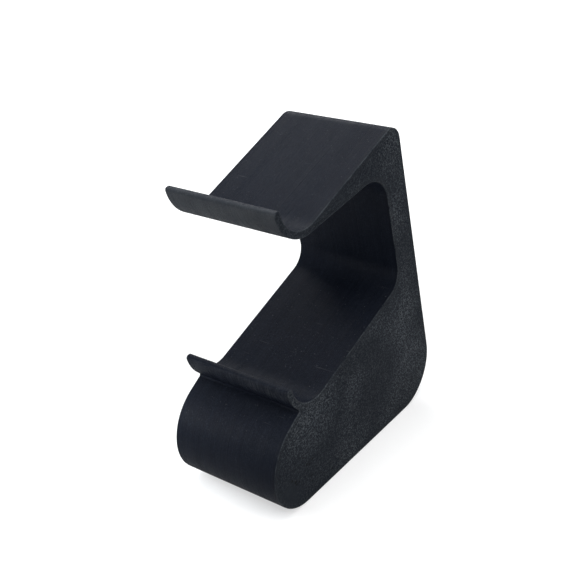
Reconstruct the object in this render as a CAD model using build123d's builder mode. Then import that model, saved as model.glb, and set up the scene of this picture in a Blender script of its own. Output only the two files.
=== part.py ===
from build123d import *
import os
from math import atan2, cos, degrees, radians, sin, sqrt

# A two-tier stand, printed in one piece while it lies on its side. Its whole form is one
# side outline, drawn in the Y-Z plane and pulled across the width. Two curled lips, and the
# trays behind them, each take one device. A leaning column at the back carries the upper
# tray on an arm, above the lower one, and stands on a solid foot.
#
# Front is -Y, up is +Z, and the origin is on the ground in the middle of the footprint.
# Lengths are in millimetres, angles in degrees.

# Overall size
WIDTH = 50.0
FOOT_DEPTH = 115.0

# Foot: a rounded toe, a bulging front wall, a shoulder that slopes up to the lower lip,
# and a rounded heel
TOE_RADIUS = 20.0
BELLY_RADIUS = 23.0
SHOULDER_SLOPE = 30.0
HEEL_RADIUS = 20.0

# Cradles: both are the same curve, from the lip through the lowest point to the tray
CRADLE_RADIUS = 14.5
CRADLE_SETBACK = 28.5
LOWER_FLOOR_HEIGHT = 43.9
TIER_PITCH = 71.0
LIP_WALL = 3.0
LIP_CURL = 81.5
LIP_EDGE_RADIUS = 1.2
LIP_ROOT_RADIUS = 1.0
TRAY_TILT = 20.0

# Column, and the arm that carries the upper tray and grows thicker towards the column
COLUMN_THICKNESS = 14.0
COLUMN_LEAN = 12.0
ARM_UNDERSIDE_TILT = 8.0
TRAY_CORNER_RADIUS = 9.0
ARM_CORNER_RADIUS = 14.0
TOP_RADIUS = 7.0

# The two ends of the outline, left and right, are broken by a small chamfer
EDGE_BREAK = 0.4

NOSE_Y = -FOOT_DEPTH / 2
HEEL_CENTRE = (FOOT_DEPTH / 2 - HEEL_RADIUS, HEEL_RADIUS)
LOWER_CENTRE = (NOSE_Y + CRADLE_SETBACK, LOWER_FLOOR_HEIGHT + CRADLE_RADIUS)
UPPER_CENTRE = (LOWER_CENTRE[0], LOWER_CENTRE[1] + TIER_PITCH)
LIP_RADIUS = CRADLE_RADIUS + LIP_WALL

# Directions around a circle's centre, counted from +Y towards +Z
LOWEST = 270.0
TIP_ANGLE = LOWEST - LIP_CURL
BED_END_ANGLE = LOWEST + TRAY_TILT
UNDERSIDE_ANGLE = LOWEST + ARM_UNDERSIDE_TILT
COLUMN_DIRECTION = 90.0 + COLUMN_LEAN


def around(centre, radius, angle):
    """The point at an angle on a circle."""
    return (centre[0] + radius * cos(radians(angle)), centre[1] + radius * sin(radians(angle)))


def angle_at(centre, point):
    """The angle, from 0 to 360, at which a point is seen from a circle's centre."""
    return degrees(atan2(point[1] - centre[1], point[0] - centre[0])) % 360


def crossing(start_a, angle_a, start_b, angle_b):
    """The point where two straight lines cross, each given by a point and a direction."""
    gap_y = start_b[0] - start_a[0]
    gap_z = start_b[1] - start_a[1]
    across_b = gap_y * sin(radians(angle_b)) - gap_z * cos(radians(angle_b))
    return around(start_a, across_b / sin(radians(angle_b - angle_a)), angle_a)


def first_reach(start, angle, centre, radius):
    """The point where a line that leaves start at an angle first meets a circle."""
    back_y = centre[0] - start[0]
    back_z = centre[1] - start[1]
    abreast = back_y * cos(radians(angle)) + back_z * sin(radians(angle))
    offset_squared = back_y**2 + back_z**2 - abreast**2
    return around(start, abreast - sqrt(radius**2 - offset_squared), angle)


# Corners of the outline that are worked out from the sizes above
belly_top = around((NOSE_Y + BELLY_RADIUS, TOE_RADIUS), BELLY_RADIUS, 90 + SHOULDER_SLOPE)
lip_root = first_reach(belly_top, SHOULDER_SLOPE, LOWER_CENTRE, LIP_RADIUS)
root_angle = angle_at(LOWER_CENTRE, lip_root)
lower_bed_end = around(LOWER_CENTRE, CRADLE_RADIUS, BED_END_ANGLE)
upper_bed_end = around(UPPER_CENTRE, CRADLE_RADIUS, BED_END_ANGLE)
underside_start = around(UPPER_CENTRE, LIP_RADIUS, UNDERSIDE_ANGLE)
column_back = around(HEEL_CENTRE, HEEL_RADIUS, COLUMN_LEAN)
column_front = around(HEEL_CENTRE, HEEL_RADIUS - COLUMN_THICKNESS, COLUMN_LEAN)
tray_corner = crossing(lower_bed_end, TRAY_TILT, column_front, COLUMN_DIRECTION)
arm_corner = crossing(underside_start, ARM_UNDERSIDE_TILT, column_front, COLUMN_DIRECTION)
top_corner = crossing(upper_bed_end, TRAY_TILT, column_back, COLUMN_DIRECTION)

with BuildPart() as stand:
    with BuildSketch(Plane.YZ.offset(-WIDTH / 2)) as side:
        with BuildLine():
            # Toe, belly and shoulder
            toe = CenterArc((NOSE_Y + TOE_RADIUS, TOE_RADIUS), TOE_RADIUS, LOWEST, -90)
            CenterArc((NOSE_Y + BELLY_RADIUS, TOE_RADIUS), BELLY_RADIUS, 180, SHOULDER_SLOPE - 90)
            Line(belly_top, lip_root)

            # Lower lip, from its root over the tip and down to the tray
            CenterArc(LOWER_CENTRE, LIP_RADIUS, root_angle, TIP_ANGLE - root_angle)
            Line(around(LOWER_CENTRE, LIP_RADIUS, TIP_ANGLE), around(LOWER_CENTRE, CRADLE_RADIUS, TIP_ANGLE))
            CenterArc(LOWER_CENTRE, CRADLE_RADIUS, TIP_ANGLE, BED_END_ANGLE - TIP_ANGLE)

            # Lower tray, front of the column and underside of the arm
            FilletPolyline(
                lower_bed_end,
                tray_corner,
                arm_corner,
                underside_start,
                radius=[TRAY_CORNER_RADIUS, ARM_CORNER_RADIUS],
            )

            # Upper lip and cradle
            CenterArc(UPPER_CENTRE, LIP_RADIUS, UNDERSIDE_ANGLE, TIP_ANGLE - UNDERSIDE_ANGLE)
            Line(around(UPPER_CENTRE, LIP_RADIUS, TIP_ANGLE), around(UPPER_CENTRE, CRADLE_RADIUS, TIP_ANGLE))
            CenterArc(UPPER_CENTRE, CRADLE_RADIUS, TIP_ANGLE, BED_END_ANGLE - TIP_ANGLE)

            # Upper tray, back of the column, heel and sole
            FilletPolyline(upper_bed_end, top_corner, column_back, radius=[TOP_RADIUS])
            heel = CenterArc(HEEL_CENTRE, HEEL_RADIUS, COLUMN_LEAN, -90 - COLUMN_LEAN)
            Line(heel @ 1, toe @ 0)
        make_face()

        # The lips' edges are rounded, and a small hollow softens the foot of the lower lip
        for centre in (LOWER_CENTRE, UPPER_CENTRE):
            tip = around(centre, CRADLE_RADIUS + LIP_WALL / 2, TIP_ANGLE)
            fillet(side.vertices().sort_by_distance(tip)[:2], LIP_EDGE_RADIUS)
        fillet(side.vertices().sort_by_distance(lip_root)[0], LIP_ROOT_RADIUS)
    extrude(amount=WIDTH)
    chamfer(stand.faces().filter_by(Axis.X).edges(), EDGE_BREAK)

stand.part.label = "stand"

os.makedirs("parts", exist_ok=True)
export_step(stand.part, "parts/stand.step")
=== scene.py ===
# %% [markdown]
# # A two-tier stand, dressed as a plastic print
#
# The CAD model of the stand is one outline pulled straight across its width. The real thing
# was printed while it lay on its side, so its wall is a stack of fine beads of plastic, one
# side lay on the build plate, and the other side was closed by ruled lines.
#
# This file keeps the CAD outline and its size, and rebuilds the surface bead by bead. Each
# step first says what the surface is on the real stand, how it could be made, and why this
# way was chosen.

# %% Load the CAD model, which is the fixed frame
import math
import random

import bmesh
import bpy
from mathutils import Matrix, Vector


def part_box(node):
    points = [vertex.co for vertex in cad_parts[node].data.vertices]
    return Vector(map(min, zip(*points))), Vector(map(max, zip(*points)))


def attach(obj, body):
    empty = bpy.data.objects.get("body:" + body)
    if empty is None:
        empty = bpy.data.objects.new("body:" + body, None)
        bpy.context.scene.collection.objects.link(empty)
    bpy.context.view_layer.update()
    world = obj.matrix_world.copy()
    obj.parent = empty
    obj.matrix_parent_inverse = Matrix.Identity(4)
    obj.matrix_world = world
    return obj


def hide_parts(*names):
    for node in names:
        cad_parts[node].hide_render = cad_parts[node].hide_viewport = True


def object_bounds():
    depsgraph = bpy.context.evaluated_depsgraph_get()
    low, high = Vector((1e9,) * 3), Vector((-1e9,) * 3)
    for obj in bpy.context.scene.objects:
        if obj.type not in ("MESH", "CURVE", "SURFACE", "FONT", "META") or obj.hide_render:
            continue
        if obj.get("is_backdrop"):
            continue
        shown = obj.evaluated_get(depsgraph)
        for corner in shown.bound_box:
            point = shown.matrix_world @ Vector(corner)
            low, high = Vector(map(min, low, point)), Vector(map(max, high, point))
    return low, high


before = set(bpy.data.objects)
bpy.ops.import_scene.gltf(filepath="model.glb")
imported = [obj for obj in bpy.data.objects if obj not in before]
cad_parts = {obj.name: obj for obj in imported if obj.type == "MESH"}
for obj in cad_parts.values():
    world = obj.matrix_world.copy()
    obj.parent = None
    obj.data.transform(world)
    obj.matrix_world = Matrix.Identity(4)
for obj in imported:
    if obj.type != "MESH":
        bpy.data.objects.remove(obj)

MM = 0.001
cad_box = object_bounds()
low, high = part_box("stand")
print("the CAD stand, in mm:", [round(size / MM, 1) for size in high - low])

# %% [markdown]
# ## The camera
#
# The camera stands to the front right and looks down on the stand. Its place was solved from
# straight edges that run along the three axes, so the render can be laid over the photograph.
# A camera could also be aimed with a Track To constraint, but plain turns about its own axes
# also keep the small roll of a picture that was taken by hand.

# %% Place the camera
AZIMUTH, ELEVATION, ROLL = 38.22, 27.465, 3.85
SENSOR_WIDTH, FOCAL_LENGTH = 36.0, 60.46
EYE = Vector((0.21226, -0.27841, 0.25323))

camera = bpy.data.objects.new("camera", bpy.data.cameras.new("camera"))
camera.data.sensor_width = SENSOR_WIDTH
camera.data.lens = FOCAL_LENGTH
camera.data.clip_start = 0.01
camera.matrix_world = (
    Matrix.Translation(EYE)
    @ Matrix.Rotation(math.radians(AZIMUTH), 4, "Z")
    @ Matrix.Rotation(math.radians(90 - ELEVATION), 4, "X")
    @ Matrix.Rotation(math.radians(-ROLL), 4, "Z")
)
bpy.context.scene.collection.objects.link(camera)
bpy.context.scene.camera = camera
print("camera distance, in mm:", round(EYE.length / MM))

# %% [markdown]
# ## One ring of the outline
#
# The wall of the print follows the CAD outline exactly. The outline could be drawn again here,
# but then the two could drift apart. So a copy of the CAD mesh is merged, and everything but
# one ring of its edges is deleted: the ring where the wall meets the small chamfer of the right
# side. Every bead is pulled out of that ring.
#
# Three number layers are added first, because extruded points take such numbers with them:
# each point's place on the ring, how deep it lies in a groove, and how near the outer edge.

# %% Keep the ring where the wall ends
EDGE_RADIUS = 0.4 * MM
SAME_SPOT = 0.001 * MM
SAME_LEVEL = 0.02 * MM

print_mesh = bmesh.new()
print_mesh.from_mesh(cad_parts["stand"].data)
spot = print_mesh.verts.layers.int.new("spot")
groove = print_mesh.verts.layers.float.new("groove")
corner = print_mesh.verts.layers.float.new("corner")

bmesh.ops.remove_doubles(print_mesh, verts=print_mesh.verts, dist=SAME_SPOT)
ring_x = high.x - EDGE_RADIUS
elsewhere = [v for v in print_mesh.verts if abs(v.co.x - ring_x) > SAME_LEVEL]
bmesh.ops.delete(print_mesh, geom=elsewhere, context="VERTS")
print("points on the ring:", len(print_mesh.verts))

# %% [markdown]
# ## Points near the ends of straight runs, and the seam
#
# Long straight runs get one more point near each end. Without it, smooth shading would bend
# the light over a whole flat tray instead of only over the curve beside it.
#
# A printer starts and ends each bead at the same place, which leaves a seam of small bumps
# across the width. It is out of sight here, low on the back of the column, and needs three
# points close together.

# %% Add points near the ends of straight runs
LONG_RUN = 8 * MM
RUN_END = 1.2 * MM


def split(edge, places):
    """Splits a straight edge at some distances from its first end. Returns the new points."""
    start = edge.verts[0].co.copy()
    way = (edge.verts[1].co - start).normalized()
    made = bmesh.ops.bisect_edges(print_mesh, edges=[edge], cuts=len(places))["geom_split"]
    fresh = [g for g in made if isinstance(g, bmesh.types.BMVert)]
    fresh.sort(key=lambda v: (v.co - start).length)
    for v, place in zip(fresh, places):
        v.co = start + way * place
    return fresh


def long_runs():
    """The long straight edges of the ring."""
    return [e for e in print_mesh.edges if e.calc_length() > LONG_RUN]


for edge in long_runs():
    split(edge, (RUN_END, edge.calc_length() - RUN_END))
print("points on the ring:", len(print_mesh.verts))

# %% Add the three points of the seam
SEAM_HEIGHT = 31 * MM
SEAM_HALF_WIDTH = 0.35 * MM


def passes(edge, height):
    """Whether an edge runs past a height."""
    low_end, high_end = sorted(v.co.z for v in edge.verts)
    return low_end < height < high_end


at_seam = [e for e in long_runs() if passes(e, SEAM_HEIGHT)]
back_run = max(at_seam, key=lambda e: e.verts[0].co.y + e.verts[1].co.y)
rise = abs(back_run.verts[1].co.z - back_run.verts[0].co.z) / back_run.calc_length()
seam_place = abs(SEAM_HEIGHT - back_run.verts[0].co.z) / rise
seam_places = (seam_place - SEAM_HALF_WIDTH, seam_place, seam_place + SEAM_HALF_WIDTH)
seam_points = split(back_run, seam_places)
print("points on the ring:", len(print_mesh.verts))
print("the seam is at:", [round(c / MM, 1) for c in seam_points[1].co])

# %% [markdown]
# ## The way round, and the way out
#
# To sink a groove or round an edge, each point of the ring has to know which way is out. The
# ring is walked once, and the way out is square to the way along. Blender could give normals
# too, but only where faces exist, and here there is only a line.
#
# A point also needs to know how much room there is behind it, so that the grooves that follow
# the edge on the two sides don't cross in the thin lips. That is the radius of the largest
# circle that touches the outline there and fits inside it. For each point, base keeps its
# place on the outline, out its way out, and room the room behind it.

# %% Walk round the ring
ring_points = list(print_mesh.verts)
way_round = ring_points[:1]
while len(way_round) < len(ring_points):
    beside = [e.other_vert(way_round[-1]) for e in way_round[-1].link_edges]
    way_round.append(next(v for v in beside if v not in way_round[-2:]))

twice_area = sum(
    a.co.y * b.co.z - b.co.y * a.co.z for a, b in zip(way_round, way_round[1:] + way_round[:1])
)
if twice_area < 0:
    way_round.reverse()

base = [Vector((0, v.co.y, v.co.z)) for v in way_round]
for place, v in enumerate(way_round):
    v[spot] = place
seam_spot = seam_points[1][spot]
print("outline, in mm2:", round(abs(twice_area) / 2 / MM**2))

# %% Find the way out at each point
out = []
for before, here, after in zip(base[-1:] + base[:-1], base, base[1:] + base[:1]):
    sides = [Vector((0, step.z, -step.y)).normalized() for step in (here - before, after - here)]
    middle = (sides[0] + sides[1]).normalized()
    out.append(middle / middle.dot(sides[0]))
print("steepest corner, as a stretch of the way out:", round(max(way.length for way in out), 3))

# %% Find the room behind each point
ROOM_SHARE = 0.88

room = []
for here, way_out in zip(base, out):
    behind = [(p - here, (here - p).dot(way_out)) for p in base]
    radii = [gap.length_squared / (2 * depth) for gap, depth in behind if depth > SAME_SPOT]
    room.append(ROOM_SHARE * min(radii))
print("least room, in mm:", round(min(room) / MM, 2))

# %% [markdown]
# ## Pulling a ring
#
# The whole print is made by one move, repeated: extrude_edge_only pulls a ring out of the last
# one, and each point of the new ring is set at a place across the stand and a little inside the
# outline. A lathe-like Screw or Array modifier would give even layers, but real layers are a
# little uneven, which is what makes a print shimmer.

# %% A helper that pulls out the next ring
WALL, EDGE_BEADS, PLATE_SIDE, RULED_SIDE = range(4)


def points_of(ring):
    """The points of a ring of edges."""
    return {v for e in ring for v in e.verts}


def pull(ring, x, inset, in_groove=0.0, at_corner=0.0, finish=WALL):
    """Extrudes a ring to x, drawn in from the outline by inset. Returns the new ring's edges."""
    made = bmesh.ops.extrude_edge_only(print_mesh, edges=ring)["geom"]
    fresh = {g for g in made if isinstance(g, bmesh.types.BMVert)}
    for v in fresh:
        v[groove], v[corner] = in_groove, at_corner
        v.co = base[v[spot]] - out[v[spot]] * min(inset, room[v[spot]])
        v.co.x = x
    for face in (g for g in made if isinstance(g, bmesh.types.BMFace)):
        face.material_index = finish
    edges = (g for g in made if isinstance(g, bmesh.types.BMEdge))
    return [e for e in edges if e.verts[0] in fresh and e.verts[1] in fresh]


def crease(ring):
    """Marks a ring as sharp, so that smooth shading stops there."""
    for edge in ring:
        edge.smooth = False


# %% [markdown]
# ## The rounded edges and the beads that follow them
#
# The edges between the wall and the two sides are rounded by about one bead's width. Inside
# them a few beads follow the outline on each side, and show as fine lines beside the edge.
# An inset would draw the same lines, but its offset runs across itself at the tips of the lips,
# so the rings are pulled in one by one, each point no further than its room.
#
# On the right side, which was pressed flat by the plate, only thin grooves are left between
# the beads. On the left side the beads keep their round backs.

# %% Round both edges
GROOVE_DEPTH = 0.045 * MM
ROUND_STEPS = (20, 45, 70, 90)

right_start = list(print_mesh.edges)
for v in print_mesh.verts:
    v.co -= out[v[spot]] * GROOVE_DEPTH
    v[groove] = 1.0
copied = bmesh.ops.duplicate(print_mesh, geom=list(print_mesh.verts) + right_start)["geom"]
left_start = [g for g in copied if isinstance(g, bmesh.types.BMEdge)]
bmesh.ops.translate(print_mesh, verts=list(points_of(left_start)), vec=(-2 * ring_x, 0, 0))
crease(right_start + left_start)


def round_edge(ring, side):
    """Rounds the edge between the wall and one side, which is 1 for right and -1 for left."""
    for turn in (math.radians(step) for step in ROUND_STEPS):
        inset = EDGE_RADIUS * (1 - math.cos(turn))
        x = side * (ring_x + EDGE_RADIUS * math.sin(turn))
        ring = pull(ring, x, inset, at_corner=math.sin(2 * turn), finish=EDGE_BEADS)
    return ring


right_ring = round_edge(right_start, 1)
left_ring = round_edge(left_start, -1)
print("rounded edges, radius in mm:", EDGE_RADIUS / MM)

# %% Pull in the beads that follow the edge
BEAD = 0.42 * MM
BEADS_BESIDE_EDGE = 4
PRESSED_GROOVE = 0.03 * MM
PRESSED_HALF_WIDTH = 0.05 * MM
SIDE_DEPTH = 1.5 * GROOVE_DEPTH     # deeper than any groove in the sides
SAME_SIDE_SPOT = 0.004 * MM


def sink(ring, inset, side, depth):
    """Sinks a ring into its side, except where the lips had no room for it, and creases it."""
    for v in points_of(ring):
        if inset < room[v[spot]]:
            v.co.x -= side * depth
    crease(ring)


for number in range(1, BEADS_BESIDE_EDGE + 1):
    inset = EDGE_RADIUS + number * BEAD
    right_ring = pull(right_ring, high.x, inset - PRESSED_HALF_WIDTH, finish=EDGE_BEADS)
    right_ring = pull(right_ring, high.x, inset, in_groove=1.0, finish=EDGE_BEADS)
    sink(right_ring, inset, 1, PRESSED_GROOVE)
    right_ring = pull(right_ring, high.x, inset + PRESSED_HALF_WIDTH, finish=EDGE_BEADS)

    left_ring = pull(left_ring, low.x, inset - BEAD / 2, finish=EDGE_BEADS)
    left_ring = pull(left_ring, low.x, inset, in_groove=1.0, finish=EDGE_BEADS)
    sink(left_ring, inset, -1, GROOVE_DEPTH)

crease(right_ring)
on_sides = [v for v in print_mesh.verts if abs(v.co.x) > high.x - SIDE_DEPTH]
bmesh.ops.remove_doubles(print_mesh, verts=on_sides, dist=SAME_SIDE_SPOT)
print("faces with both bands:", len(print_mesh.faces))

# %% [markdown]
# ## The two side faces
#
# What is left open on each side is one flat area with a long, curved border. holes_fill closes
# it with a single face.
#
# The left side was printed last, and it shows the ruled lines of its top skin. bisect_plane
# draws them: it cuts the face along parallel slanting lines, and every second cut is then sunk
# a little. Lines that are cut into the face stay sharp at any size, which a pattern in the
# material would not when it is baked into a small image.

# %% Close both sides
starts = set(right_start) | set(left_start)
open_edges = [e for e in print_mesh.edges if e.is_boundary and e not in starts]
closed = bmesh.ops.holes_fill(print_mesh, edges=open_edges, sides=0)["faces"]
for face in closed:
    face.material_index = PLATE_SIDE if face.calc_center_median().x > 0 else RULED_SIDE
print("side faces:", len(closed), "with points:", [len(f.verts) for f in closed])

# %% Rule the left side
RULED_LINE = 0.42 * MM
RULED_GROOVE = 0.028 * MM
RULED_ANGLE = math.radians(45)
CUT_SLACK = 0.002 * MM

across = Vector((0, math.cos(RULED_ANGLE), math.sin(RULED_ANGLE)))
uncut = [f for f in closed if f.material_index == RULED_SIDE]
reach = [across.dot(v.co) for f in uncut for v in f.verts]
sunk = set()
lines = set()
first_cut = math.ceil(min(reach) / RULED_LINE * 2)
last_cut = math.floor(max(reach) / RULED_LINE * 2)
half_lines = range(first_cut, last_cut + 1)
for number in half_lines:
    place = across * (number * RULED_LINE / 2)
    near = set(uncut) | {e for f in uncut for e in f.edges} | {v for f in uncut for v in f.verts}
    cut = bmesh.ops.bisect_plane(
        print_mesh, geom=list(near), dist=CUT_SLACK, plane_co=place, plane_no=across
    )
    if number % 2:
        sunk |= {g for g in cut["geom_cut"] if isinstance(g, bmesh.types.BMVert)}
        lines |= {g for g in cut["geom_cut"] if isinstance(g, bmesh.types.BMEdge)}
    faces = {g for g in cut["geom"] if isinstance(g, bmesh.types.BMFace)} | set(uncut)
    uncut = [f for f in faces if max(across.dot(v.co - place) for v in f.verts) > CUT_SLACK]

for v in sunk:
    v.co.x += RULED_GROOVE
    v[groove] = 1.0
crease(lines)
ruled = [f for f in print_mesh.faces if f.material_index == RULED_SIDE]
print("cuts:", len(half_lines), "faces on the ruled side:", len(ruled))

# %% [markdown]
# ## The beads of the wall
#
# Each layer of the wall is a bead with a rounded back and a thin groove to the next one. The
# beads could be painted with a bump map, but real ones also break up the light along the
# outline, and a mesh keeps them when the model goes to another program.
#
# The ring is pulled half a layer at a time: to the back of a bead, and on to the next groove,
# each time about a hundredth of a millimetre off. The groove rings are creased, so that smooth
# shading makes each bead round and each groove a line. The last ring meets the left side.

# %% Lay the wall, layer by layer
LAYER = 0.3 * MM
UNEVEN = 0.012 * MM
SEAM_BUMP = 0.07 * MM
SEAM_LEAST, SEAM_MOST = 0.4, 1.0
SEED = 11

uneven = random.Random(SEED)
layer_count = round(2 * ring_x / LAYER)
layer = 2 * ring_x / layer_count

ring = right_start
for number in range(layer_count):
    bead_x = ring_x - (number + 0.5) * layer
    ring = pull(ring, bead_x, abs(uneven.gauss(0, UNEVEN)))
    for v in points_of(ring):
        if v[spot] == seam_spot:
            v.co += out[seam_spot] * SEAM_BUMP * uneven.uniform(SEAM_LEAST, SEAM_MOST)
    off = uneven.gauss(0, UNEVEN) if number < layer_count - 1 else 0.0
    ring = pull(ring, bead_x - layer / 2, GROOVE_DEPTH + off, in_groove=1.0)
    crease(ring)

last_rings = list(points_of(ring) | points_of(left_start))
bmesh.ops.remove_doubles(print_mesh, verts=last_rings, dist=SAME_SPOT)
print("layers:", layer_count, "of", round(layer / MM, 3), "mm")

# %% Finish the mesh
many_sided = [f for f in print_mesh.faces if len(f.verts) > 4]
bmesh.ops.triangulate(print_mesh, faces=many_sided)
bmesh.ops.recalc_face_normals(print_mesh, faces=print_mesh.faces)
for face in print_mesh.faces:
    face.smooth = True

stand_mesh = bpy.data.meshes.new("printed_stand")
print_mesh.to_mesh(stand_mesh)
printed_stand = bpy.data.objects.new("printed_stand", stand_mesh)
bpy.context.scene.collection.objects.link(printed_stand)
print("volume, in cm3:", round(print_mesh.calc_volume(signed=True) * 1e6, 1))
print("open edges:", sum(not e.is_manifold for e in print_mesh.edges))
print("triangles:", sum(len(f.verts) - 2 for f in print_mesh.faces))
print_mesh.free()

# %% Tie the piece to the frame
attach(printed_stand, "root")
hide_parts("stand")
box_low, box_high = (Vector(c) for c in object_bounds())
print("the visual stand, in mm:", [round(size / MM, 2) for size in box_high - box_low])

# %% [markdown]
# ## Shader building blocks
#
# All four finishes are the same black plastic, seen on surfaces that were made in different
# ways. What they share is built once, as node groups with named inputs and outputs: the slow
# drift of the pigment, the tone of single beads, the grain, the worn edges, and dust. Each
# material places the groups with its own values. Copying the nodes into each material would
# also work, but then a change would have to be made four times.
#
# Every pattern reads Object coordinates, which are the stand's own, so nothing slides when the
# stand or the camera moves.

# %% Helpers that add nodes
def add(tree, kind, settings=None, **inputs):
    """Adds a node. Inputs are named with _ for a space, and take a value or an output."""
    made = tree.nodes.new(kind)
    for name, value in (settings or {}).items():
        setattr(made, name, value)
    for name, value in inputs.items():
        fill(tree, made.inputs[name.replace("_", " ")], value)
    return made


def fill(tree, socket, value):
    """Links an output to a socket, or sets the socket's value."""
    if isinstance(value, bpy.types.NodeSocket):
        tree.links.new(value, socket)
    else:
        socket.default_value = value


def blend(tree, share, start, end, how="MIX"):
    """A mix of two colours."""
    made = add(tree, "ShaderNodeMix", {"data_type": "RGBA", "blend_type": how})
    for name, value in (("Factor_Float", share), ("A_Color", start), ("B_Color", end)):
        fill(tree, next(s for s in made.inputs if s.identifier == name), value)
    return next(s for s in made.outputs if s.identifier == "Result_Color")


def own_place(tree):
    """Each point's place on the stand itself, in metres."""
    return add(tree, "ShaderNodeTexCoord").outputs["Object"]


def noise(tree, place, scale, detail, **more):
    """A noise pattern, from 0 to 1."""
    made = add(tree, "ShaderNodeTexNoise", Vector=place, Scale=scale, Detail=detail, **more)
    return made.outputs["Fac"]


print("node helpers ready")

# %% Helpers that reckon
def maths(tree, operation, *values):
    """A Math node's result."""
    made = add(tree, "ShaderNodeMath", {"operation": operation})
    for socket, value in zip(made.inputs, values):
        fill(tree, socket, value)
    return made.outputs[0]


def multiply(tree, *values):
    """The product of all values."""
    product = values[0]
    for value in values[1:]:
        product = maths(tree, "MULTIPLY", product, value)
    return product


def weigh(tree, first, first_share, second, second_share):
    """The sum of two patterns, each times its share."""
    weighed = multiply(tree, first, first_share)
    return maths(tree, "ADD", weighed, multiply(tree, second, second_share))


def rise_with(tree, value, times, plus):
    """A number that rises with a value: the value times one number, plus another."""
    return maths(tree, "ADD", multiply(tree, value, times), plus)


def ramp(tree, value, zero_at, one_at):
    """0 where a value is at zero_at, 1 where it is at one_at, and a straight ramp between."""
    made = add(tree, "ShaderNodeMapRange", Value=value, From_Min=zero_at, From_Max=one_at)
    return made.outputs["Result"]


def measure(tree, operation, *places):
    """A number from places or directions, such as a distance."""
    made = add(tree, "ShaderNodeVectorMath", {"operation": operation})
    for socket, place in zip(made.inputs, places):
        fill(tree, socket, place)
    return made.outputs["Value"]


print("reckoning helpers ready")

# %% A helper that starts a node group
FLOAT, COLOR, VECTOR = "NodeSocketFloat", "NodeSocketColor", "NodeSocketVector"
PLAIN_BLACK = (0.03, 0.03, 0.04, 1)


def start_group(name, inputs, outputs):
    """A new node group. Inputs are (name, kind, value), and outputs are (name, kind)."""
    tree = bpy.data.node_groups.new(name, "ShaderNodeTree")
    for label, kind, value in inputs:
        made = tree.interface.new_socket(label, in_out="INPUT", socket_type=kind)
        made.default_value = value
    for label, kind in outputs:
        tree.interface.new_socket(label, in_out="OUTPUT", socket_type=kind)
    given = tree.nodes.new("NodeGroupInput").outputs
    return tree, given, tree.nodes.new("NodeGroupOutput").inputs


print("group helper ready")

# %% [markdown]
# ### Pigment drift
#
# Black plastic is never one flat black. The pigment and the sheen change a little over a few
# millimetres, and again over a few centimetres. Two noises of different size do that. Red
# swings the most and blue the least, so that lighter places are also a little less blue.

# %% The pigment drift group
FINE_PER_BROAD = 4.0
GREEN_SWING, BLUE_SWING = 0.9, 0.7

drift, given, result = start_group(
    "pigment_drift",
    [("Color", COLOR, PLAIN_BLACK), ("Size", FLOAT, 0.02), ("Amount", FLOAT, 0.2)],
    [("Color", COLOR)],
)
place = own_place(drift)
fine = noise(drift, place, maths(drift, "DIVIDE", FINE_PER_BROAD, given["Size"]), detail=2.0)
broad = noise(drift, place, maths(drift, "DIVIDE", 1.0, given["Size"]), detail=1.0)
swing = maths(drift, "SUBTRACT", maths(drift, "ADD", fine, broad), 1.0)
swing = multiply(drift, swing, given["Amount"])
level = add(
    drift, "ShaderNodeCombineColor",
    Red=maths(drift, "ADD", swing, 1.0),
    Green=rise_with(drift, swing, times=GREEN_SWING, plus=1.0),
    Blue=rise_with(drift, swing, times=BLUE_SWING, plus=1.0),
)
drifted = blend(drift, 1.0, given["Color"], level.outputs["Color"], "MULTIPLY")
drift.links.new(drifted, result["Color"])
print("group:", drift.name)

# %% [markdown]
# ### The tone of single beads
#
# Beads cool at different speeds, so some come out a shade duller than their neighbours. The
# group counts the beads across a direction, gives each count its own random tone, and adds a
# broader wave over many beads. The same group serves the wall, where beads lie side by side
# across the width, and the ruled side, where they slant.

# %% The bead tone group
tone, given, result = start_group(
    "bead_tone",
    [
        ("Direction", VECTOR, (1, 0, 0)), ("Pitch", FLOAT, 0.0003),
        ("Start", FLOAT, 0.0), ("Spread", FLOAT, 12.0),
    ],
    [("Tone", FLOAT), ("Wave", FLOAT)],
)
along = measure(tone, "DOT_PRODUCT", own_place(tone), given["Direction"])
count = maths(tone, "DIVIDE", maths(tone, "SUBTRACT", along, given["Start"]), given["Pitch"])
in_line = {"noise_dimensions": "1D"}
single = add(tone, "ShaderNodeTexWhiteNoise", in_line, W=maths(tone, "FLOOR", count))
spread = maths(tone, "DIVIDE", count, given["Spread"])
wave = add(tone, "ShaderNodeTexNoise", in_line, W=spread, Scale=1.0, Detail=3.0)
wave = ramp(tone, wave.outputs["Fac"], zero_at=0.30, one_at=0.70)
tone.links.new(single.outputs["Value"], result["Tone"])
tone.links.new(wave, result["Wave"])
print("group:", tone.name)

# %% [markdown]
# ### Grain
#
# The right side took the rough texture of the build plate, and every other surface has a much
# finer roughness of its own. Rounded cells of uneven size give both: only the size differs.
# Each cell is a hollow in a cloud of noise, and Speck picks out the high places as single
# light grains.

# %% The grain group
CLOUD_PER_CELL = 0.9
CELL_DEPTH = 0.45

grain, given, result = start_group(
    "grain",
    [("Size", FLOAT, 0.0005)],
    [("Height", FLOAT), ("Speck", FLOAT)],
)
place = own_place(grain)
scale = maths(grain, "DIVIDE", 1.0, given["Size"])
cells = add(
    grain, "ShaderNodeTexVoronoi", {"feature": "SMOOTH_F1"},
    Vector=place, Scale=scale, Smoothness=0.5,
)
cloud_scale = multiply(grain, scale, CLOUD_PER_CELL)
cloud = noise(grain, place, cloud_scale, detail=3.0, Roughness=0.6)
hollow = multiply(grain, cells.outputs["Distance"], CELL_DEPTH)
height = maths(grain, "SUBTRACT", cloud, hollow)
grain.links.new(height, result["Height"])
grain.links.new(ramp(grain, height, zero_at=0.25, one_at=0.45), result["Speck"])
print("group:", grain.name)
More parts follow.
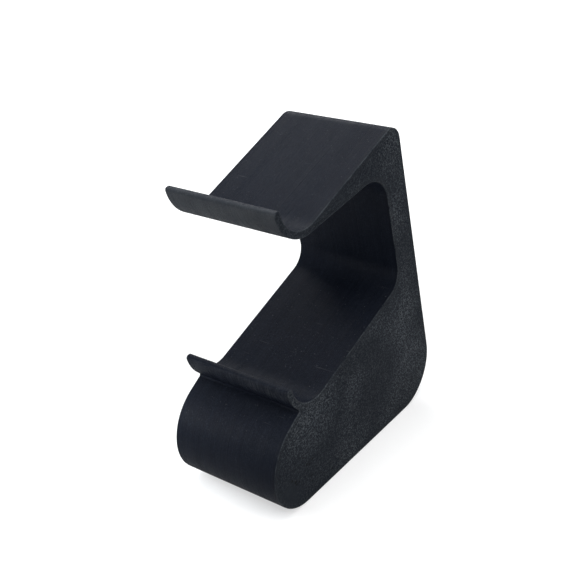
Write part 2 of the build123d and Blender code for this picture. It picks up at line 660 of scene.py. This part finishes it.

# %% [markdown]
# ### Edge wear and painted highlight
#
# A thin pale line runs along the outer edges: partly wear, and partly a painted highlight where
# the rounded edge catches the light. The mesh carries the number "corner", which is 1 on the
# rounded edge and 0 away from it, and the group breaks that line up with noise, as wear is never
# even.

# %% The edge wear and highlight group
wear_and_highlight_group, given, result = start_group(
    "worn_and_highlit_edge",
    [
        ("Color", COLOR, PLAIN_BLACK), ("Worn Color", COLOR, (0.1, 0.11, 0.12, 1)),
        ("Amount", FLOAT, 0.5),
    ],
    [("Color", COLOR)],
)
line = add(wear_and_highlight_group, "ShaderNodeAttribute", {"attribute_name": "corner"}).outputs["Fac"]
patches = noise(wear_and_highlight_group, own_place(wear_and_highlight_group), scale=260.0, detail=4.0, Roughness=0.65)
patches = ramp(wear_and_highlight_group, patches, zero_at=0.3, one_at=0.65)
mask = multiply(wear_and_highlight_group, line, patches, given["Amount"])
wear_and_highlight_group.links.new(blend(wear_and_highlight_group, mask, given["Color"], given["Worn Color"]), result["Color"])
print("group:", wear_and_highlight_group.name)

# %% [markdown]
# ### Dust and scuffs
#
# A stand on a desk gathers a little dust on what faces up, and a few short scuffs anywhere.
# The dust is small cells kept only where the surface looks up. The scuffs are long, thin
# patches of noise, stretched two ways. Both only lighten the plastic slightly.

# %% The dust group
MOTES_PER_METRE = 900.0
SCUFF_WAYS = (
    ((0.7, 0.2, 0.4), (60.0, 900.0, 1500.0)),
    ((0.3, 1.1, 0.9), (80.0, 1300.0, 1000.0)),
)
SCUFF_SHARE = 0.5

dust, given, result = start_group(
    "dust_and_scuffs",
    [
        ("Color", COLOR, PLAIN_BLACK), ("Dust Color", COLOR, (0.2, 0.2, 0.2, 1)),
        ("Amount", FLOAT, 0.5),
    ],
    [("Color", COLOR), ("Mask", FLOAT)],
)
place = own_place(dust)
normal = add(dust, "ShaderNodeNewGeometry").outputs["Normal"]
facing = add(dust, "ShaderNodeSeparateXYZ", Vector=normal)
looks_up = ramp(dust, facing.outputs["Z"], zero_at=0.2, one_at=1.0)
motes = add(dust, "ShaderNodeTexVoronoi", Vector=place, Scale=MOTES_PER_METRE)
motes = ramp(dust, motes.outputs["Distance"], zero_at=0.22, one_at=0.1)
sparse = ramp(dust, noise(dust, place, scale=420.0, detail=2.0), zero_at=0.52, one_at=0.68)
lying = multiply(dust, motes, sparse, looks_up)
scuffed = 0.0
for turn, stretch in SCUFF_WAYS:
    stretched = add(dust, "ShaderNodeMapping", Vector=place, Rotation=turn, Scale=stretch)
    scuff = noise(dust, stretched.outputs["Vector"], scale=1.0, detail=2.0)
    scuff = ramp(dust, scuff, zero_at=0.72, one_at=0.82)
    scuffed = maths(dust, "MAXIMUM", scuffed, scuff)
marked = maths(dust, "MAXIMUM", lying, multiply(dust, scuffed, SCUFF_SHARE))
mask = multiply(dust, marked, given["Amount"])
dust.links.new(blend(dust, mask, given["Color"], given["Dust Color"]), result["Color"])
dust.links.new(mask, result["Mask"])
print("group:", dust.name)

# %% [markdown]
# ## The four finishes
#
# A plain helper puts the groups in a row, since the plastic is the same: base tone, pigment
# drift, painted shade in the grooves, edge wear with a painted highlight, dust. What differs
# between the surfaces is how light the plastic looks, how large the grain is, and how the beads
# run.

# %% Colours
# The wall, the sides, their wear and painted highlights, the painted sheen of the upper lip,
# dust, and painted shade in grooves and pits. They are linear.
DARK = (0.0022, 0.0033, 0.0072, 1)
LIGHT = (0.0116, 0.0147, 0.0224, 1)
SIDE_DARK = (0.0028, 0.0047, 0.0085, 1)
SIDE_LIGHT = (0.0640, 0.0730, 0.0820, 1)
# The pale edge line: partly wear, partly a painted highlight.
WEAR_AND_HIGHLIGHT = (0.1000, 0.1080, 0.1150, 1)
# The light ticks on the fronts of the lips: painted highlights.
TICK_HIGHLIGHT = (0.0450, 0.0490, 0.0550, 1)
# The outer side of the upper lip: a painted sheen, where the light falls on it.
LIP_SHEEN_DARK = (0.0380, 0.0420, 0.0480, 1)
LIP_SHEEN_LIGHT = (0.0640, 0.0700, 0.0770, 1)
DUSTY = (0.1500, 0.1550, 0.1600, 1)
GROOVE_SHADE = (0.0050, 0.0065, 0.0100, 1)
PIT_SHADE = (0.0006, 0.0008, 0.0014, 1)
print("colours ready")

# %% Helpers that begin a finish
PLASTIC_IOR = 1.46
PLASTIC_SHINE = 0.04


def use(tree, group, **inputs):
    """Places a node group in a material, and returns its outputs."""
    return add(tree, "ShaderNodeGroup", {"node_tree": group}, **inputs).outputs


def begin_finish(name):
    """A material with its Principled BSDF."""
    material = bpy.data.materials.new(name)
    material.use_nodes = True
    tree = material.node_tree
    shader = tree.nodes["Principled BSDF"]
    shader.inputs["Metallic"].default_value = 0.0
    shader.inputs["IOR"].default_value = PLASTIC_IOR
    shader.inputs["Specular IOR Level"].default_value = PLASTIC_SHINE
    return material, tree, shader


def nearness(tree, place, target, near, far):
    """1 within near of a target point, and 0 beyond far."""
    return ramp(tree, measure(tree, "DISTANCE", place, target), far, near)


print("helpers ready to begin a finish")

# %% Helpers that lay the plastic
PIGMENT_SIZE, PIGMENT_AMOUNT = 0.02, 0.55
DUST_ROUGHNESS = 0.2


def lay_plastic(tree, shader, color, wear_and_highlight_amount, dust_amount, shade_amount):
    """Leads the beads' colour to Base Color, with painted shade in the grooves, edge wear with a
    painted highlight, and dust. Returns the dust's mask.
    """
    deep = add(tree, "ShaderNodeAttribute", {"attribute_name": "groove"}).outputs["Fac"]
    drifted = use(tree, drift, Color=color, Size=PIGMENT_SIZE, Amount=PIGMENT_AMOUNT)["Color"]
    shaded = blend(tree, multiply(tree, deep, shade_amount), drifted, GROOVE_SHADE)
    # The pale line on the edges is partly wear and partly a painted highlight.
    highlit = use(tree, wear_and_highlight_group, Color=shaded, Worn_Color=WEAR_AND_HIGHLIGHT, Amount=wear_and_highlight_amount)["Color"]
    dusted = use(tree, dust, Color=highlit, Dust_Color=DUSTY, Amount=dust_amount)
    tree.links.new(dusted["Color"], shader.inputs["Base Color"])
    return dusted["Mask"]


def dull(tree, shader, rough, dusty):
    """Sets how rough the plastic is, and a little rougher where dust lies."""
    rough = maths(tree, "ADD", rough, multiply(tree, dusty, DUST_ROUGHNESS))
    tree.links.new(rough, shader.inputs["Roughness"])


def emboss(tree, shader, height, depth, strength):
    """Gives the surface the fine relief of a pattern."""
    relief = add(tree, "ShaderNodeBump", Strength=strength, Distance=depth, Height=height)
    tree.links.new(relief.outputs["Normal"], shader.inputs["Normal"])


print("helpers ready to lay the plastic")

# %% [markdown]
# ### The wall of beads
#
# The outline's surface is the darkest part: near black with a touch of blue, in fine streaks
# that run along the beads. Two sizes of grain break the streaks up.
#
# The fronts of the two lips get short light ticks, painted highlights where the layer lines
# catch the light. The ticks are noise, stretched along the beads. The outer side of the upper
# lip is greyer than the rest, a painted sheen where the light falls on it, and the crease under
# the lower lip is matt.
#
# Such places could be painted on the mesh, but nearness to a point does it without a brush.
# A Mapping node squeezes the stand across its width first, so that one point reaches along a
# whole lip. Nearness to the middle of the upper cradle then keeps the grey off its inner side.

# %% The streaks of the wall
WALL_GRAIN, WALL_MOTTLE = 0.35 * MM, 0.8 * MM
WALL_WAVE = 5.0

wall_finish, tree, shader = begin_finish("wall_beads")
beads = use(tree, tone, Direction=(1, 0, 0), Pitch=layer, Start=ring_x, Spread=WALL_WAVE)
mixed = weigh(tree, beads["Tone"], 0.6, beads["Wave"], 0.4)
fleck = use(tree, grain, Size=WALL_GRAIN)
mottle = use(tree, grain, Size=WALL_MOTTLE)
mottled = weigh(tree, fleck["Speck"], 0.95, mottle["Speck"], 0.45)
streaks = rise_with(tree, mixed, times=0.75, plus=0.1)
share = multiply(tree, streaks, maths(tree, "ADD", mottled, 0.2))
print("finish begun:", wall_finish.name)

# %% Where the wall gets painted highlights and a painted sheen, and where it is matt
TICK_HIGHLIGHT_LIPS = ((0.0018, -0.0455, 0.0520), (-0.0010, -0.0450, 0.1220))
LIP_SHEEN_CENTRE = (0.0, -0.0480, 0.1190)
UPPER_CRADLE = (0.0, -0.0290, 0.1294)
CREASE = (0.0, -0.0392, 0.0442)
SQUEEZE_WIDTH = (0.15, 1.0, 1.0)
TICK_STRETCH = (1300.0, 160.0, 160.0)
TICK_AMOUNT, LIP_SHEEN_AMOUNT = 0.6, 0.78

place = own_place(tree)
squeezed = add(tree, "ShaderNodeMapping", Vector=place, Scale=SQUEEZE_WIDTH).outputs["Vector"]
stretched = add(tree, "ShaderNodeMapping", Vector=place, Scale=TICK_STRETCH).outputs["Vector"]
# Painted highlights: short light ticks on the fronts of both lips.
ticks = ramp(tree, noise(tree, stretched, scale=1.0, detail=2.0), zero_at=0.46, one_at=0.66)
at_lips = 0.0
for lip_front in TICK_HIGHLIGHT_LIPS:
    at_lip = nearness(tree, squeezed, lip_front, near=1.5 * MM, far=5.0 * MM)
    at_lips = maths(tree, "MAXIMUM", at_lips, at_lip)
tick_highlights = multiply(tree, at_lips, ticks, TICK_AMOUNT)

# A painted sheen greys the outer side of the upper lip, and stays off its inner side.
inner = nearness(tree, squeezed, UPPER_CRADLE, near=15.2 * MM, far=16.8 * MM)
outer = maths(tree, "SUBTRACT", 1.0, inner)
near_lip_sheen = nearness(tree, squeezed, LIP_SHEEN_CENTRE, near=10.0 * MM, far=22.0 * MM)
lip_sheen = multiply(tree, near_lip_sheen, LIP_SHEEN_AMOUNT, outer)
in_crease = nearness(tree, squeezed, CREASE, near=1.2 * MM, far=4.0 * MM)
print("rubbed places:", len(TICK_HIGHLIGHT_LIPS))

# %% The wall finish
CREASE_ROUGHNESS = 0.35

# The plain wall, then the upper lip's painted sheen, then the painted highlights of the ticks.
plain_wall = blend(tree, share, DARK, LIGHT)
sheen_grey = blend(tree, share, LIP_SHEEN_DARK, LIP_SHEEN_LIGHT)
plastic = blend(tree, tick_highlights, blend(tree, lip_sheen, plain_wall, sheen_grey), TICK_HIGHLIGHT)
dusty = lay_plastic(tree, shader, plastic, wear_and_highlight_amount=0.5, dust_amount=0.35, shade_amount=0.55)
rough = rise_with(tree, mixed, times=0.16, plus=0.46)
rough = maths(tree, "ADD", rough, multiply(tree, in_crease, CREASE_ROUGHNESS))
dull(tree, shader, rough, dusty)
emboss(tree, shader, fleck["Height"], depth=0.012 * MM, strength=0.5)
print("finish:", wall_finish.name)

# %% [markdown]
# ### The side that lay on the plate
#
# This side is a field of light and dark grains, about 0.4 and 0.7 mm wide. Its colour changes
# grain by grain, and a bump of the same grains makes it glitter softly. The light grains are
# densest under the lower lip, a painted pool of light, and fewer over the lower middle of the
# side, painted shade, while random patches of them come back further in. They fade away in the
# low front corner, and beside that corner there are a few small dark pits. Scattered pits would
# be easier, but these are seen one by one, so each has its own place and size.

# %% Where the light grains are dense: a painted pool of light and painted shade
PAINTED_LIGHT_PLACE = (high.x, -0.0340, 0.0430)
PAINTED_SHADE_PLACE = (high.x, -0.0400, 0.0200)
COARSE_GRAIN, SIDE_GRAIN = 0.72 * MM, 0.4 * MM
PATCHES_PER_METRE = 34.0


def grains_and_painted_light(tree):
    """The share of light grains on the plate side, and the two grains that it is made of."""
    place = own_place(tree)
    coarse = use(tree, grain, Size=COARSE_GRAIN)
    fleck = use(tree, grain, Size=SIDE_GRAIN)
    both = weigh(tree, coarse["Speck"], 0.6, fleck["Speck"], 0.4)
    patch = noise(tree, place, scale=PATCHES_PER_METRE, detail=1.0)
    patch = ramp(tree, patch, zero_at=0.42, one_at=0.74)
    # Painted shade: fewer light grains over the lower middle of the side.
    painted_shade = nearness(tree, place, PAINTED_SHADE_PLACE, near=22.0 * MM, far=40.0 * MM)
    patch = multiply(tree, patch, maths(tree, "SUBTRACT", 1.0, painted_shade))
    # Painted light: more light grains under the lower lip.
    painted_light = nearness(tree, place, PAINTED_LIGHT_PLACE, near=7.0 * MM, far=25.0 * MM)
    dense = rise_with(tree, maths(tree, "MAXIMUM", patch, painted_light), times=0.95, plus=0.43)
    return multiply(tree, both, dense), coarse, fleck


print("light grains ready")

# %% The smooth corner and the pits
SMOOTH_PLACE = (high.x, -0.0500, 0.0080)
SMOOTH_SHARE, SMOOTH_GREY = 0.8, (0.09, 0.09, 0.09, 1)
PIT_FLOOR = 0.4
PITS = (        # place along the side, height and radius, in mm
    (-47.2, 16.1, 0.75), (-45.1, 14.2, 0.95), (-42.9, 13.1, 0.75), (-44.6, 12.8, 0.60),
    (-37.6, 17.8, 0.80), (-35.9, 16.8, 0.70), (-33.7, 18.1, 0.75), (-39.5, 22.0, 0.50),
    (-34.7, 10.7, 0.50), (-34.6, 7.9, 0.60), (-32.0, 5.6, 0.55), (-28.4, 7.8, 0.50),
    (-20.7, 4.8, 0.75),
)

plate_finish, tree, shader = begin_finish("plate_side")
place = own_place(tree)
share, coarse, fleck = grains_and_painted_light(tree)
smooth = nearness(tree, place, SMOOTH_PLACE, near=5.0 * MM, far=12.0 * MM)
grainy = maths(tree, "SUBTRACT", 1.0, multiply(tree, smooth, SMOOTH_SHARE))
speckle = blend(tree, grainy, SMOOTH_GREY, share)
pitted = 0.0
for y, z, radius in PITS:
    centre = (high.x, y * MM, z * MM)
    pit = nearness(tree, place, centre, near=PIT_FLOOR * radius * MM, far=radius * MM)
    pitted = maths(tree, "MAXIMUM", pitted, pit)
print("pits:", len(PITS))

# %% The plate side finish
ROUGHEST, SPECK_SHEEN = 0.62, 0.16
PIT_DEPTH, PLATE_BUMP = 0.5, 0.14 * MM

plastic = blend(tree, pitted, blend(tree, speckle, SIDE_DARK, SIDE_LIGHT), PIT_SHADE)
dusty = lay_plastic(tree, shader, plastic, wear_and_highlight_amount=0.5, dust_amount=0.3, shade_amount=0.3)
rough = maths(tree, "SUBTRACT", ROUGHEST, multiply(tree, speckle, SPECK_SHEEN))
dull(tree, shader, rough, dusty)
height = maths(tree, "ADD", coarse["Height"], multiply(tree, fleck["Height"], 0.5))
pits_depth = multiply(tree, pitted, PIT_DEPTH)
height = maths(tree, "SUBTRACT", multiply(tree, height, grainy), pits_depth)
emboss(tree, shader, height, depth=PLATE_BUMP, strength=1.0)
print("finish:", plate_finish.name)

# %% [markdown]
# ### The beads beside the edges
#
# A band of finer grain, with thin lines between its beads, frames both sides and turns over
# the rounded edge. It keeps most of the plate side's light grains, so that it doesn't look
# like a separate trim.

# %% The edge finish
edge_finish, tree, shader = begin_finish("edge_beads")
share, _, fleck = grains_and_painted_light(tree)
plastic = blend(tree, rise_with(tree, share, times=0.7, plus=0.02), SIDE_DARK, SIDE_LIGHT)
dusty = lay_plastic(tree, shader, plastic, wear_and_highlight_amount=0.3, dust_amount=0.35, shade_amount=0.7)
dull(tree, shader, rise_with(tree, fleck["Speck"], times=0.1, plus=0.48), dusty)
emboss(tree, shader, fleck["Height"], depth=0.03 * MM, strength=0.5)
print("finish:", edge_finish.name)

# %% [markdown]
# ### The ruled side
#
# The top skin is the shiniest surface: each ruled line was drawn hot over the one before, and
# each has its own sheen.

# %% The ruled side finish
SKIN_GRAIN = 0.3 * MM
SKIN_WAVE = 14.0

ruled_finish, tree, shader = begin_finish("ruled_side")
beads = use(
    tree, tone, Direction=across, Pitch=RULED_LINE, Start=RULED_LINE / 2, Spread=SKIN_WAVE
)
mixed = weigh(tree, beads["Tone"], 0.55, beads["Wave"], 0.45)
fleck = use(tree, grain, Size=SKIN_GRAIN)
share = multiply(tree, mixed, rise_with(tree, fleck["Speck"], times=0.4, plus=0.5))
plastic = blend(tree, share, SIDE_DARK, SIDE_LIGHT)
dusty = lay_plastic(tree, shader, plastic, wear_and_highlight_amount=0.5, dust_amount=0.35, shade_amount=0.6)
dull(tree, shader, rise_with(tree, mixed, times=0.2, plus=0.38), dusty)
emboss(tree, shader, fleck["Height"], depth=0.01 * MM, strength=0.4)
print("finish:", ruled_finish.name)

# %% Put the finishes on the stand
for finish in (wall_finish, edge_finish, plate_finish, ruled_finish):
    stand_mesh.materials.append(finish)
print("finishes:", [m.name for m in stand_mesh.materials])

# %% [markdown]
# ## Floor, light and background
#
# The stand is shown on white, as in the photograph, and keeps its soft shadow. The floor is a
# pale, matt sheet. Rays from the camera, and those seen in gloss or through glass, get a small
# glow on top of it, which lifts the sheet to white and leaves the shadow. The glow is weaker
# near the stand. Stronger lamps would whiten the floor too, but they would wash out the
# plastic.
#
# Black plastic shows more of what it reflects than of its own colour, so the places of the
# lamps matter more than their power. A large lamp hangs above, and a second one on the right
# makes the right side brighter than the front. A weak lamp in front and a small one low on the
# left show how the wall bulges, and one behind lights the back. A weak bluish surrounding
# fills the shade. The camera doesn't see the lamps themselves.

# %% The floor's sheet
FLOOR_DROP = 0.05 * MM

sheet = bmesh.new()
just_below = Matrix.Translation((0, 0, -FLOOR_DROP))
bmesh.ops.create_grid(sheet, x_segments=1, y_segments=1, size=4.0, matrix=just_below)
floor_mesh = bpy.data.meshes.new("floor")
sheet.to_mesh(floor_mesh)
sheet.free()
floor = bpy.data.objects.new("floor", floor_mesh)
bpy.context.scene.collection.objects.link(floor)
floor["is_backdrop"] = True
print("floor, in m:", floor.dimensions[:2])

# %% The floor's paint
FLOOR_GREY = (0.52, 0.52, 0.52, 1)
WHITE = (1, 1, 1, 1)


def seen_directly(tree):
    """1 for rays from the camera, from gloss and through glass, and 0 for all others."""
    ray = add(tree, "ShaderNodeLightPath").outputs
    shown = maths(tree, "MAXIMUM", ray["Is Camera Ray"], ray["Is Glossy Ray"])
    return maths(tree, "MAXIMUM", shown, ray["Is Transmission Ray"])


floor_paint = bpy.data.materials.new("pale_sheet")
floor_paint.use_nodes = True
tree = floor_paint.node_tree
shader = tree.nodes["Principled BSDF"]
shader.inputs["Base Color"].default_value = FLOOR_GREY
shader.inputs["Roughness"].default_value = 0.9
shader.inputs["Specular IOR Level"].default_value = 0.1
shader.inputs["Emission Color"].default_value = WHITE
away = measure(tree, "LENGTH", own_place(tree))
glow = add(
    tree, "ShaderNodeMapRange", Value=away, From_Min=0.1, From_Max=0.9, To_Min=0.50, To_Max=1.0
)
glow = multiply(tree, seen_directly(tree), glow.outputs["Result"])
tree.links.new(glow, shader.inputs["Emission Strength"])
floor_mesh.materials.append(floor_paint)
print("floor paint:", floor_paint.name)

# %% The surroundings
SKY_BLUE = (0.80, 0.88, 1.0, 1)
SKY_STRENGTH = 0.22

world = bpy.data.worlds.new("surroundings")
bpy.context.scene.world = world
world.use_nodes = True
tree = world.node_tree
shown = seen_directly(tree)
background = tree.nodes["Background"]
tree.links.new(blend(tree, shown, SKY_BLUE, WHITE), background.inputs["Color"])
strength = rise_with(tree, shown, times=1.0 - SKY_STRENGTH, plus=SKY_STRENGTH)
tree.links.new(strength, background.inputs["Strength"])
print("surroundings ready")

# %% The lamps
MIDDLE = (0, 0, 0.06)
BULGE_TOP = (0, -0.04, 0.08)
BULGE_LEFT = (-0.025, -0.057, 0.03)
LAMPS = (       # name, place, aim, size in metres, power in watts, colour
    ("top_lamp", (0.10, 0.02, 0.80), MIDDLE, 0.45, 3.6, (1.0, 0.99, 0.97)),
    ("side_lamp", (0.45, -0.02, 0.38), MIDDLE, 0.30, 1.35, (1.0, 0.99, 0.98)),
    ("front_lamp", (-0.05, -0.17, 0.28), BULGE_TOP, 0.14, 0.40, (0.98, 0.99, 1.0)),
    ("rear_lamp", (-0.42, 0.36, 0.36), MIDDLE, 0.35, 2.4, (0.97, 0.98, 1.0)),
    ("left_lamp", (-0.090, -0.090, 0.05), BULGE_LEFT, 0.04, 0.10, (0.95, 0.98, 1.0)),
)


def hang_lamp(name, place, aim, size, power, color):
    """A square soft lamp at a place, turned to aim at a point."""
    lamp = bpy.data.objects.new(name, bpy.data.lights.new(name, "AREA"))
    lamp.data.size = size
    lamp.data.energy = power
    lamp.data.color = color
    lamp.location = place
    lamp.rotation_euler = (Vector(aim) - Vector(place)).to_track_quat("-Z", "Y").to_euler()
    lamp.visible_camera = False
    bpy.context.scene.collection.objects.link(lamp)
    print("lamp:", name, "power", power)


for lamp in LAMPS:
    hang_lamp(*lamp)

# %% [markdown]
# ## Colours as written, sizes kept
#
# The Standard view transform shows colours as they are written. The two boxes, of the CAD
# model and of the dressed one, are compared, and their largest difference is printed.

# %% Print the difference in size and finish
bpy.context.scene.view_settings.view_transform = "Standard"
visual_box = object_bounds()
corners = zip((*cad_box[0], *cad_box[1]), (*visual_box[0], *visual_box[1]))
print("largest difference, in mm:", round(max(abs(a - b) for a, b in corners) / MM, 3))
